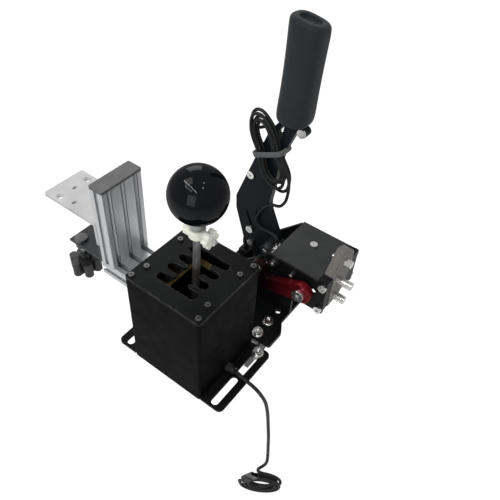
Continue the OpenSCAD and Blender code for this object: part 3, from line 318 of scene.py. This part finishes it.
made = {
    "rail_aluminium": metal("rail_aluminium", ALUMINIUM, 0.36, ALONG_Y, full=0.9),
    "column_aluminium": metal("column_aluminium", ALUMINIUM, 0.36, ALONG_Z, full=0.9),
    "clamp_steel": coat("clamp_steel", (0.46, 0.465, 0.46), 0.42, worn_and_highlit=(0.6, 0.6, 0.6), shine=0.4),
    "jaw_steel": coat("jaw_steel", (0.05, 0.052, 0.056), 0.4),
    "cap_plastic": plastic("cap_plastic", (0.085, 0.085, 0.087), 0.55),
    "dark_plastic": plastic("dark_plastic", (0.018, 0.018, 0.019), 0.5),
    "knob_plastic": plastic("knob_plastic", (0.012, 0.012, 0.013), 0.42),
    "black_coat": coat("black_coat", BLACK_COAT, 0.42),
    # Darker copy of the black coat on the box's side covers: painted shade, for sides that face away from
    # the light
    "shaded_cover_coat": coat("shaded_cover_coat", (0.0035, 0.0035, 0.0038), 0.5, wear_and_highlight=0.06, shine=0.02),
    # Gate coat: its strongly pale edges are a painted highlight along the gate plate's edges, as well as
    # wear
    "gate_coat": coat("gate_coat", (0.0065, 0.007, 0.007), 0.42, worn_and_highlit=(0.4, 0.4, 0.4), wear_and_highlight=0.8, shine=0.06),
    # Paler grey coat of the end block and end plate: painted light, for the light that their sloped faces
    # catch on a black-grey part
    "painted_light_block_coat": coat("painted_light_block_coat", (0.125, 0.115, 0.103), 0.46, worn_and_highlit=(0.25, 0.24, 0.22), shine=0.35),
    "satin_coat": coat("satin_coat", (0.016, 0.017, 0.017), 0.36, shine=0.4),
    "arm_coat": coat("arm_coat", (0.007, 0.0095, 0.012), 0.36),
    "knob_gloss": plastic("knob_gloss", (0.003, 0.0035, 0.0045), 0.09, 60, 0.000001,
                          Coat_Weight=0.32, Coat_Roughness=0.015, Specular_IOR_Level=0.0),
    "bright_steel": metal("bright_steel", PLATED, 0.22, grain=1200, shade=0.06),
    "stick_steel": metal("stick_steel", (0.5, 0.5, 0.5), 0.42, ALONG_Z),
    "plain_steel": metal("plain_steel", STEEL, 0.36),
    "dark_steel": metal("dark_steel", (0.13, 0.13, 0.13), 0.4),
    "bronze": metal("bronze", (0.5, 0.34, 0.15), 0.38),
    # Red of the pull link: darkened overall as painted shade, and darker still towards its rear end as
    # painted shade
    "red_anodised": anodised("red_anodised", (0.21, 0.004, 0.011), (0.018, 0.002, 0.003), 0.36),
    "milky_plastic": milky("milky_plastic", (0.86, 0.88, 0.77)),
    "board_resin": plastic("board_resin", (0.20, 0.13, 0.05), 0.45),
    "grip_foam": foam("grip_foam", (0.013, 0.0165, 0.019)),
    "cord_rubber": rubber("cord_rubber", (0.009, 0.0095, 0.0105)),
    "tie_fabric": weave("tie_fabric", (0.10, 0.103, 0.107)),
}

# Finish of each CAD node, where it isn't the one that its material slot names
finish_of = {
    "rail": "rail_aluminium", "column": "column_aluminium", "shift_shaft": "stick_steel",
    "front_cover": "shaded_cover_coat", "rear_cover": "shaded_cover_coat", "gate_plate": "gate_coat",
    "top_plate": "satin_coat", "clamp_pad_left": "dark_steel", "clamp_pad_right": "dark_steel",
    "end_block": "painted_light_block_coat", "end_plate": "painted_light_block_coat", "arm_bolts": "bright_steel",
}

# Width of the rounded edges, for the nodes whose edges are softer or sharper than most
USUAL_EDGE_MM = 0.35
edge_width_mm = {
    "clamp_knob_left": 1.4, "clamp_knob_right": 1.4, "thumb_nut": 0.8, "shaft_clip": 0.7, "lever_arm": 0.5,
    "pull_link": 0.9, "end_caps": 0.8, "end_block": 0.6, "end_plate": 0.5, "lever_stop": 0.6,
    "rail": 0.25, "column": 0.25, "front_cover": 0.6, "rear_cover": 0.6,
    "side_screws": 0.4, "end_screws": 0.4, "link_bolt": 0.6, "brake_base": 0.3, "base_plate": 0.3,
    "housing_screws": 0.25, "knob_collar": 0.6, "frame_bolts": 0.4, "arm_bolts": 0.4,
    "gear_switches": 0.2, "switch_board": 0.1, "centring_springs": 0, "return_spring": 0,
}


def paint(obj, material):
    if obj.data.materials:
        for spot in obj.material_slots:
            spot.material = material
    else:
        obj.data.materials.append(material)


def dress_node(name, slot):
    """Gives a CAD node its finish, and rounds its edges."""
    obj = nodes[name]
    paint(obj, made[finish_of.get(name, slot)])
    width = edge_width_mm.get(name, USUAL_EDGE_MM)
    if width:
        weld = obj.modifiers.new("weld", "WELD")
        weld.merge_threshold = 0.01 * MM
        bevel = obj.modifiers.new("bevel", "BEVEL")
        bevel.width = width * MM
        bevel.segments = 2
        bevel.limit_method = "ANGLE"
        bevel.angle_limit = SHARP_ANGLE
        bevel.use_clamp_overlap = True
        level = obj.modifiers.new("face_normals", "WEIGHTED_NORMAL")
        level.mode = "FACE_AREA"
        level.weight = 100
        level.keep_sharp = True
    obj.data.shade_smooth()
    obj.data.set_sharp_from_angle(angle=SHARP_ANGLE)


for part in frame["record"]["subparts"]:
    dress_node(part["node"], part["material_slot"])


# Building

def from_mesh(name, mesh, material, body, slot, *replaced):
    """Links a finished mesh as a piece that rides a body and stands for the named CAD nodes."""
    data = bpy.data.meshes.new(name)
    mesh.normal_update()
    mesh.to_mesh(data)
    mesh.free()
    obj = bpy.data.objects.new(name, data)
    scene.collection.objects.link(obj)
    data.materials.append(made[material])
    data.shade_smooth()
    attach(obj, body)
    if replaced:
        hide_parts(*replaced)
    return obj


def ring_loft(mesh, rings, closed=False):
    """Skins a list of rings, each a list of points with the same count."""
    made_rings = [[mesh.verts.new(p) for p in ring] for ring in rings]
    pairs = list(zip(made_rings, made_rings[1:]))
    if closed:
        pairs.append((made_rings[-1], made_rings[0]))
    for a, b in pairs:
        n = len(a)
        for i in range(n):
            mesh.faces.new((a[i], a[(i + 1) % n], b[(i + 1) % n], b[i]))
    return made_rings


def lathe(profile_mm, placing, sides):
    """Turns a profile of (radius, height) about the Z axis of placing."""
    mesh = bmesh.new()
    rings = []
    for radius, height in profile_mm:
        rings.append([
            placing @ (Vector((
                radius * math.cos(2 * math.pi * i / sides),
                radius * math.sin(2 * math.pi * i / sides),
                height,
            )) * MM)
            for i in range(sides)
        ])
    ends = ring_loft(mesh, rings)
    for ring in (ends[0], ends[-1]):
        mesh.faces.new(ring)
    bmesh.ops.recalc_face_normals(mesh, faces=mesh.faces)
    return mesh


def smooth(points, steps):
    """Smooth path through chosen points, the same as part.scad's."""
    out = []
    n = len(points)
    for i in range(n - 1):
        a = points[max(i - 1, 0)]
        b = points[i]
        c = points[i + 1]
        d = points[min(i + 2, n - 1)]
        for s in range(steps):
            t = s / steps
            out.append(0.5 * (
                2 * b + (c - a) * t + (2 * a - 5 * b + 4 * c - d) * t * t
                + (3 * b - a - 3 * c + d) * t * t * t
            ))
    out.append(points[-1])
    return out


def vectors(points):
    """Turns plain tuples into vectors."""
    return [Vector(p) for p in points]


# Frames

def at_shifter(p):
    """Point of the shifter's own frame, in metres of the whole part's frame."""
    return (Vector(p) + SHIFTER) * MM


def at_brake(p):
    """Point of the handbrake's own frame, in metres of the whole part's frame."""
    return (Vector(p) + BRAKE) * MM


stick_frame = (
    Matrix.Translation(at_shifter((0, 0, PIVOT_H)))
    @ Matrix.Rotation(STICK_SIDE, 4, "Y")
    @ Matrix.Rotation(-REST_LEAN, 4, "X")
)


# Cords

# Points in one turn of a hank
RINGS = 24

# A cord's points stand this share of its diameter apart
CORD_POINT_SHARE = 0.5

# Passes that ease the whole of a cord, and passes that ease only its bends tighter than LEAST_BEND diameters
EASING_PASSES = 8
BEND_PASSES = 60
LEAST_BEND = 2


def hank_points(turns, first, way, ends, widths, step, layer):
    """Points of a hank in two layers, by the same rule as in part.scad."""
    out = []
    for i in range(round(turns * RINGS) + 1):
        s = i / RINGS
        a = math.radians(first + way * 360 * s)
        inward = step * min(s, turns - s)
        climb = min(1, max(0, (s - turns / 2) * 2 + 0.5))
        upper = math.cos(a) > 0
        reach = ends[0] if upper else ends[1] + ends[2] * max(0, 1 - inward / step)
        share = math.sin(math.radians(180 * abs(math.cos(a)) * 0.9)) ** 2
        half = widths[2] + share * (widths[0 if upper else 1] - widths[2])
        out.append(Vector((
            layer * climb, math.sin(a) * (half - inward), math.cos(a) * (reach - inward),
        )))
    return out


def with_leads(points, length):
    """Adds a short straight run before the first point and after the last one."""
    first = points[0] - length * (points[1] - points[0]).normalized()
    last = points[-1] + length * (points[-1] - points[-2]).normalized()
    return [first] + points + [last]


def placed(points, about_x, about_z, at):
    """Points turned by degrees about X, then about Z, and moved to at."""
    turn = Matrix.Rotation(math.radians(about_z), 3, "Z") @ Matrix.Rotation(math.radians(about_x), 3, "X")
    return [turn @ p + Vector(at) for p in points]


def path_length(points):
    """Length of a path along its points."""
    return sum((b - a).length for a, b in zip(points, points[1:]))


def sides_along(points):
    """A side direction at each point, carried along without twist."""
    out = []
    n = len(points)
    side = Vector((1, 0, 0))
    for i in range(n):
        heading = (points[min(i + 1, n - 1)] - points[max(i - 1, 0)]).normalized()
        side = (side - side.dot(heading) * heading).normalized()
        out.append((heading, side))
    return out


def tube(points, radius, sides=14):
    """Round tube swept along points in metres, with flat ends."""
    mesh = bmesh.new()
    rings = []
    for p, (heading, side) in zip(points, sides_along(points)):
        other = heading.cross(side)
        angles = [2 * math.pi * k / sides for k in range(sides)]
        rings.append([p + radius * (math.cos(a) * side + math.sin(a) * other) for a in angles])
    ends = ring_loft(mesh, rings)
    for ring in (ends[0], ends[-1]):
        mesh.faces.new(ring)
    bmesh.ops.recalc_face_normals(mesh, faces=mesh.faces)
    return mesh


def resample(points, gap):
    """Rounds a path and gives it points about one gap apart."""
    fine = smooth(points, 6)
    out = [fine[0]]
    run = 0
    for a, b in zip(fine, fine[1:]):
        run += (b - a).length
        if run >= gap:
            out.append(b)
            run = 0
    if out[-1] != fine[-1]:
        out.append(fine[-1])
    return out


def even_out(points, gap):
    """The same path with its points at equal distances."""
    total = path_length(points)
    count = max(2, round(total / gap))
    out = [points[0]]
    run = 0
    target = total / count
    for a, b in zip(points, points[1:]):
        step = (b - a).length
        while step > 0 and run + step >= target * len(out) and len(out) < count:
            out.append(a.lerp(b, (target * len(out) - run) / step))
        run += step
    out.append(points[-1])
    return out


def relax(points, rounds, least_bend=0):
    """Eases a path: all of it, or only the stretches that bend tighter than least_bend."""
    for _ in range(rounds):
        tight = set()
        for i in range(1, len(points) - 1):
            a = points[i] - points[i - 1]
            b = points[i + 1] - points[i]
            if not least_bend or a.length < least_bend * a.angle(b, 0):
                tight.update(range(max(1, i - 3), min(len(points) - 1, i + 4)))
        eased = list(points)
        for i in tight:
            eased[i] = (points[i - 1] + 2 * points[i] + points[i + 1]) / 4
        points = eased
    return points


def make_cord(name, route_mm, place, diameter_mm, body, replaced):
    """Cord as one tube along an eased route."""
    spacing = diameter_mm * CORD_POINT_SHARE
    route = relax(even_out(resample(route_mm, 0.5), spacing), EASING_PASSES)
    route = even_out(relax(route, BEND_PASSES, LEAST_BEND * diameter_mm), spacing)
    points = [place(p) for p in route]
    mesh = tube(points, diameter_mm * MM / 2)
    obj = from_mesh(name, mesh, "cord_rubber", body, "cord_rubber", *replaced)


# The handbrake's hank leans by this many degrees, and its first layer lies just off the arm's face
HANK_TILT = 25
HANK_MIDDLE_Y = 8
HANK_MIDDLE_Z = 183
BRAKE_CORD_X = -ARM_T / 2 - 0.3 - BRAKE_CORD_D / 2

# Straight runs of the cords where they enter or leave their hanks
BRAKE_LEAD_L = 3
SHIFTER_LEAD_L = 9

brake_tail_route = vectors([
    (7.5, 10, 199), (7.5, 11.5, 203), (7, 16, 205.5), (5.4, 21, 203), (2.5, 24.8, 199.2),
    (-1.5, 28.5, 197.3), (-4.8, 31.2, 199.5),
])
brake_loops = placed(
    with_leads(
        hank_points(
            turns=4.625, first=45, way=-1, ends=(47, 46, 12), widths=(17.5, 20.5, 14.5),
            step=BRAKE_CORD_D * 1.16, layer=-BRAKE_CORD_D * 1.3,
        ),
        BRAKE_CORD_D,
    ),
    -HANK_TILT, 0, (BRAKE_CORD_X, HANK_MIDDLE_Y, HANK_MIDDLE_Z),
)
brake_hank = smooth(brake_tail_route, 3) + brake_loops
brake_run = (brake_hank[-1] - brake_hank[-2]).normalized()
brake_cord_route = vectors([
    (-9, -3, 122), (-7, 8, 110), (-6, 15, 96), (-6, 17, 86), (-6, 12, 79),
    (-6, 2, 78), (-6, -8, 78.5), (-7, -13.5, 77), (-7, -15, 73.5), (-7, -15, 70.2),
])
brake_lead = brake_hank[-1] + BRAKE_LEAD_L * brake_run
brake_route = brake_hank + [brake_lead] + smooth(brake_cord_route, 3)

shifter_cord_route = vectors([
    (0, -54.2, 8.5), (0, -58, 8.5), (-1, -66, 7), (-1, -74, 6), (0, -81, 2),
    (3, -86, -8), (9, -90, -28), (14, -92, -55), (18, -93, -85), (21, -95, -120),
    (23, -96, -150), (24, -97, -172), (22, -97, -194),
])
shifter_loops = placed(
    with_leads(
        hank_points(
            turns=4.75, first=90, way=-1, ends=(28, 28, 0), widths=(23, 23, 23),
            step=SHIFTER_CORD_D * 1.3, layer=-SHIFTER_CORD_D * 1.3,
        ),
        SHIFTER_CORD_D,
    ),
    90, 0, (0, 0, 0),
)
shifter_tail = vectors([(-1.5, 0, 4), (-4, -1, 8), (-5.2, -3, 12), (-5.2, -5, 15)])
shifter_hank = placed(
    shifter_loops + [shifter_loops[-1] + p for p in shifter_tail], 0, 30, (19, -96, -240),
)
shifter_run = (shifter_hank[1] - shifter_hank[0]).normalized()
shifter_lead = shifter_hank[0] - SHIFTER_LEAD_L * shifter_run
shifter_route = smooth(shifter_cord_route + [shifter_lead], 4)[:-1] + [shifter_lead] + shifter_hank


# Plugs

# Boxes of a plug in millimetres: middle height and size. The cord enters at height 0.
PLUG_BODY = (-7.4, (6, 9, 13.2))
PLUG_RIBS = [(-height, (6.5, 9.4, 0.9)) for height in (3.6, 5.8, 8.0)]
PLUG_SHELL = (-19.5, (4.4, 12, 11))
SHELL_TOP_MM = -14.1
SHELL_WALL_MM = 0.5
SHELL_DEPTH_MM = 8


def plug(name, body, replaced, placing):
    """Moulded plug with finger ribs, and its hollow metal shell below."""
    mesh = bmesh.new()
    for height, size in [PLUG_BODY, *PLUG_RIBS, PLUG_SHELL]:
        block = bmesh.ops.create_cube(mesh, size=1)
        bmesh.ops.scale(mesh, vec=Vector(size) * MM, verts=block["verts"])
        bmesh.ops.translate(mesh, vec=Vector((0, 0, height)) * MM, verts=block["verts"])
    low = min(mesh.faces, key=lambda f: f.calc_center_median().z)
    bmesh.ops.inset_region(mesh, faces=[low], thickness=SHELL_WALL_MM * MM)
    bmesh.ops.translate(mesh, vec=(0, 0, SHELL_DEPTH_MM * MM), verts=low.verts)
    for face in mesh.faces:
        face.material_index = 1 if face.calc_center_median().z < SHELL_TOP_MM * MM else 0
    mesh.transform(placing)
    obj = from_mesh(name, mesh, "dark_plastic", body, "dark_plastic", replaced)
    obj.data.materials.append(made["dark_steel"])
    bevel = obj.modifiers.new("bevel", "BEVEL")
    bevel.width = USUAL_EDGE_MM * MM
    bevel.segments = 2
    bevel.limit_method = "ANGLE"
    return obj


def turned(about_x, about_z):
    """Rotation by degrees about X and then about Z."""
    return Matrix.Rotation(math.radians(about_z), 4, "Z") @ Matrix.Rotation(math.radians(about_x), 4, "X")


brake_plug = plug(
    "brake_plug_dressed", "lever", "brake_plug",
    Matrix.Translation(at_brake(brake_tail_route[0] - Vector((0, 0, 0.4)))) @ turned(-12, 0),
)
shifter_plug = plug(
    "shifter_plug_dressed", "frame", "shifter_plug",
    Matrix.Translation(at_shifter(shifter_hank[-1])) @ turned(35, 30)
    @ Matrix.Translation((0, 0, 0.5 * MM)) @ Matrix.Rotation(math.pi, 4, "X"),
)

make_cord(
    "brake_cord_dressed", list(reversed(brake_route)), at_brake, BRAKE_CORD_D, "lever",
    ("brake_cord", "brake_hank"),
)
make_cord(
    "shifter_cord_dressed", shifter_route, at_shifter, SHIFTER_CORD_D, "frame",
    ("shifter_cord", "shifter_hank"),
)


# Springs

# Points in one coil of a spring
COIL_POINTS = 28


def spring(name, replaced, places, radius_mm, wire_mm, pitch_mm, turns):
    """Coil springs of round wire, one from each place, along the X axis turned by degrees about Z."""
    mesh = bmesh.new()
    for start, about_z in places:
        turn = Matrix.Rotation(math.radians(about_z), 3, "Z")
        points = []
        for i in range(round(turns * COIL_POINTS) + 1):
            a = 2 * math.pi * i / COIL_POINTS
            across = radius_mm * math.cos(a), radius_mm * math.sin(a)
            points.append(turn @ (Vector((pitch_mm * i / COIL_POINTS, *across)) * MM) + start)
        part = tube(points, wire_mm * MM, 10)
        data = bpy.data.meshes.new("part")
        part.to_mesh(data)
        part.free()
        mesh.from_mesh(data)
        bpy.data.meshes.remove(data)
    from_mesh(name, mesh, "plain_steel", "frame", "plain_steel", replaced)


spring(
    "return_spring_dressed", "return_spring", [(at_brake((ARM_T / 2 + 8, 0, LEVER_PIVOT_H)), 0)],
    radius_mm=12.6, wire_mm=1.1, pitch_mm=3, turns=4,
)

# Where the centring springs start, on each side of the stick
CENTRING_Y = 34.2
spring(
    "centring_springs_dressed", "centring_springs",
    [(at_shifter((0, CENTRING_Y, PIVOT_H)), 90), (at_shifter((0, -CENTRING_Y, PIVOT_H)), -90)],
    radius_mm=5.2, wire_mm=0.8, pitch_mm=2.2, turns=2,
)


# Ball knob

def ball_knob():
    """Polished ball with a small flat below, which has a shallow recess and a softened rim."""
    radius = KNOB_D / 2
    flat_r = math.sqrt(radius ** 2 - KNOB_FLAT ** 2)
    axis_r = 0.05
    recess = 0.5
    rim = 0.12
    profile = [
        (axis_r, -KNOB_FLAT + recess), (4.2, -KNOB_FLAT + recess), (4.6, -KNOB_FLAT),
        (flat_r - 1.0, -KNOB_FLAT), (flat_r - 0.3, -KNOB_FLAT + rim),
    ]
    start = math.asin(-KNOB_FLAT / radius) + 0.04
    steps = 56
    for i in range(steps):
        a = start + (math.pi / 2 - start) * i / steps
        profile.append((radius * math.cos(a), radius * math.sin(a)))
    profile.append((axis_r, radius))
    mesh = lathe(profile, stick_frame @ Matrix.Translation((0, 0, STICK_L * MM)), 96)
    from_mesh("ball_knob", mesh, "knob_gloss", "stick", "knob_gloss", "shift_knob")


ball_knob()


# Lever grip

# Sections of the grip: height, middle in y, half width in y, half width in x
GRIP_SECTIONS = [
    (0, -10.5, 12.5, 11.5), (2, -11, 15.4, 13.8), (9, -11.4, 17.2, 15.1), (30, -12.3, 16.8, 15.0),
    (52, -13.2, 16.6, 14.8), (74, -13.9, 16.9, 14.8), (88, -14.2, 17.2, 14.9), (94.5, -14.2, 16.9, 14.6),
    (97, -14.2, 15.6, 13.4), (98, -14.2, 13.6, 11.4),
]
GRIP_START = (0.2, -10.5, 9.5, 8.5)
GRIP_WELL = [
    (98.1, -14.2, 10.8, 8.4), (97.7, -14.2, 9.9, 7.5), (96.2, -14.2, 9.6, 7.2), (94.6, -14.2, 9.3, 6.9),
    (94.4, -14.2, 8.2, 5.8),
]

# The top slopes down towards GRIP_FALL. The slope grows from none, at SLOPE_START of the grip's length.
GRIP_SLOPE = 0.2
GRIP_FALL = Vector((0.545, -0.838))
SLOPE_START = 0.6

# Points round the grip, and how square its sections are: 1 is an oval, and 0 a rectangle
GRIP_SIDES = 56
GRIP_SQUARENESS = 0.72


def grip_ring(height, middle, half_y, half_x):
    """One section of the grip: a squarish oval, sloped near the grip's top."""
    out = []
    for k in range(GRIP_SIDES):
        c = math.cos(2 * math.pi * k / GRIP_SIDES)
        d = math.sin(2 * math.pi * k / GRIP_SIDES)
        x = half_x * math.copysign(abs(c) ** GRIP_SQUARENESS, c)
        y = half_y * math.copysign(abs(d) ** GRIP_SQUARENESS, d)
        share = max(0, height / GRIP_L - SLOPE_START) / (1 - SLOPE_START)
        fall = GRIP_SLOPE * share * Vector((x, y)).dot(GRIP_FALL)
        out.append(at_brake((x, middle + y, GRIP_TOP - GRIP_L + height - fall)))
    return out


def lever_grip():
    """Foam grip with rounded ends and a shallow well in its top."""
    mesh = bmesh.new()
    sections = smooth(vectors(GRIP_SECTIONS), 4)
    rings = [grip_ring(*section) for section in [GRIP_START, *sections, *GRIP_WELL]]
    ends = ring_loft(mesh, rings)
    for ring in (ends[0], ends[-1]):
        mesh.faces.new(ring)
    bmesh.ops.recalc_face_normals(mesh, faces=mesh.faces)
    obj = from_mesh("lever_grip_dressed", mesh, "grip_foam", "lever", "grip_foam", "lever_grip")
    rounding = obj.modifiers.new("subdivision", "SUBSURF")
    rounding.levels = 1
    rounding.render_levels = 1


lever_grip()


# Strap round the hank

# Section of the strap: distance out, and height
STRAP_SECTION = [
    (0, -2.5), (0, 2.5), (0.4, 2.8), (1.0, 2.7), (1.3, 2.3), (1.3, -2.3), (1.0, -2.7), (0.4, -2.8),
]

# Corners of the strap's loop: x, and the distance from the middle of the hank
STRAP_CORNERS = vectors([
    (4.2, -18.6, 0), (11.4, -6, 0), (11.4, 10, 0), (5, 17.6, 0), (-13.2, 17.2, 0), (-13.2, -17.4, 0),
])
STRAP_CORNER_MM = 4
STRAP_POINT_GAP_MM = 1.6


def hank_strap():
    """Woven strap drawn tight round the lever arm, the hank and the plug."""
    mesh = bmesh.new()
    middle = Matrix.Translation(at_brake((0, HANK_MIDDLE_Y, HANK_MIDDLE_Z))) @ turned(-HANK_TILT, 0)
    outline = []
    for i, corner in enumerate(STRAP_CORNERS):
        before = STRAP_CORNERS[i - 1]
        after = STRAP_CORNERS[(i + 1) % len(STRAP_CORNERS)]
        before = corner.lerp(before, STRAP_CORNER_MM / (corner - before).length)
        after = corner.lerp(after, STRAP_CORNER_MM / (corner - after).length)
        for step in range(7):
            t = step / 6
            outline.append(before.lerp(corner, t).lerp(corner.lerp(after, t), t))
    outline = even_out(outline + [outline[0]], STRAP_POINT_GAP_MM)[:-1]
    n = len(outline)
    rings = []
    for i, p in enumerate(outline):
        heading = (outline[(i + 1) % n] - outline[i - 1]).normalized()
        out = heading.cross(Vector((0, 0, 1)))
        sag = 0.25 * math.sin(i * 0.9) + 0.15 * math.sin(i * 0.37)
        ring = []
        for side, height in STRAP_SECTION:
            ring.append(middle @ ((p + out * side + Vector((0, 0, height + sag * 0.4))) * MM))
        rings.append(ring)
    ring_loft(mesh, rings, closed=True)
    bmesh.ops.recalc_face_normals(mesh, faces=mesh.faces)
    from_mesh("hank_strap", mesh, "tie_fabric", "lever", "tie_fabric", "hank_tie")


hank_strap()


# Floor, light and world

# The floor's own glow, and the share of it that the camera sees instead of the lit surface
FLOOR_GLOW = 1.16
FLOOR_GLOW_SHARE = 0.8


def make_stage():
    """Pale floor under the part. The camera sees it nearly white, and it still takes shadow."""
    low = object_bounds()[0][2] - 1 * MM
    bpy.ops.mesh.primitive_plane_add(size=12, location=(0, 0, low))
    floor = bpy.context.object
    floor.name = "floor"
    f = Finish("floor_white", (0.84, 0.84, 0.84), 0.9)
    path = f.add("LightPath")
    seen = f.sum(path.outputs["Is Camera Ray"], path.outputs["Is Transmission Ray"], "MAXIMUM")
    share = f.sum(seen, FLOOR_GLOW_SHARE, "MULTIPLY")
    glow = f.add("Emission", {"Color": (1, 1, 1, 1), "Strength": FLOOR_GLOW})
    blend = f.add("MixShader", {0: share, 1: f.shader.outputs["BSDF"], 2: glow.outputs["Emission"]})
    f.put(f.tree.nodes["Material Output"].inputs["Surface"], blend.outputs["Shader"])
    floor.data.materials.append(f.made)


# Each light's name, place, size and power. They all face LIGHT_TARGET.
LIGHT_TARGET = Vector((0, -0.12, 0))
LIGHTS = [
    ("key", (-0.5, 0.5, 1.5), (0.7, 0.7), 5),
    ("side", (-1.3, -0.5, 0.5), (0.7, 0.9), 4),
    ("rear", (0.9, 0.9, 0.9), (0.8, 0.8), 6),
    ("strip", (-0.75, 0.1, 1.35), (1.9, 0.035), 7),
    ("short_strip", (-0.95, 0.1, 1.2), (0.8, 0.022), 1.6),
    ("glint", (-0.2, -0.75, 1.2), (0.05, 0.05), 0.5),
    ("small_glint", (0.1, -0.55, 1.3), (0.04, 0.04), 0.35),
]


def area_light(name, at, size, power):
    data = bpy.data.lights.new(name, "AREA")
    data.shape = "RECTANGLE"
    data.size, data.size_y = size
    data.energy = power
    lamp = bpy.data.objects.new(name, data)
    scene.collection.objects.link(lamp)
    lamp.location = at
    lamp.rotation_euler = (LIGHT_TARGET - Vector(at)).to_track_quat("-Z", "Y").to_euler()


make_stage()
for light in LIGHTS:
    area_light(*light)

# Strength of the white surroundings as light, and as the camera sees them
WORLD_LIGHT = 0.5
WORLD_SEEN = 1.0


def make_world():
    world = bpy.data.worlds.new("world")
    scene.world = world
    world.use_nodes = True
    tree = world.node_tree
    background = tree.nodes["Background"]
    background.inputs["Color"].default_value = (1, 1, 1, 1)
    seen_ray = tree.nodes.new("ShaderNodeLightPath").outputs["Is Camera Ray"]
    brightness = tree.nodes.new("ShaderNodeMapRange")
    brightness.inputs["To Min"].default_value = WORLD_LIGHT
    brightness.inputs["To Max"].default_value = WORLD_SEEN
    tree.links.new(seen_ray, brightness.inputs["Value"])
    tree.links.new(brightness.outputs["Result"], background.inputs["Strength"])


make_world()
scene.view_settings.view_transform = "Standard"
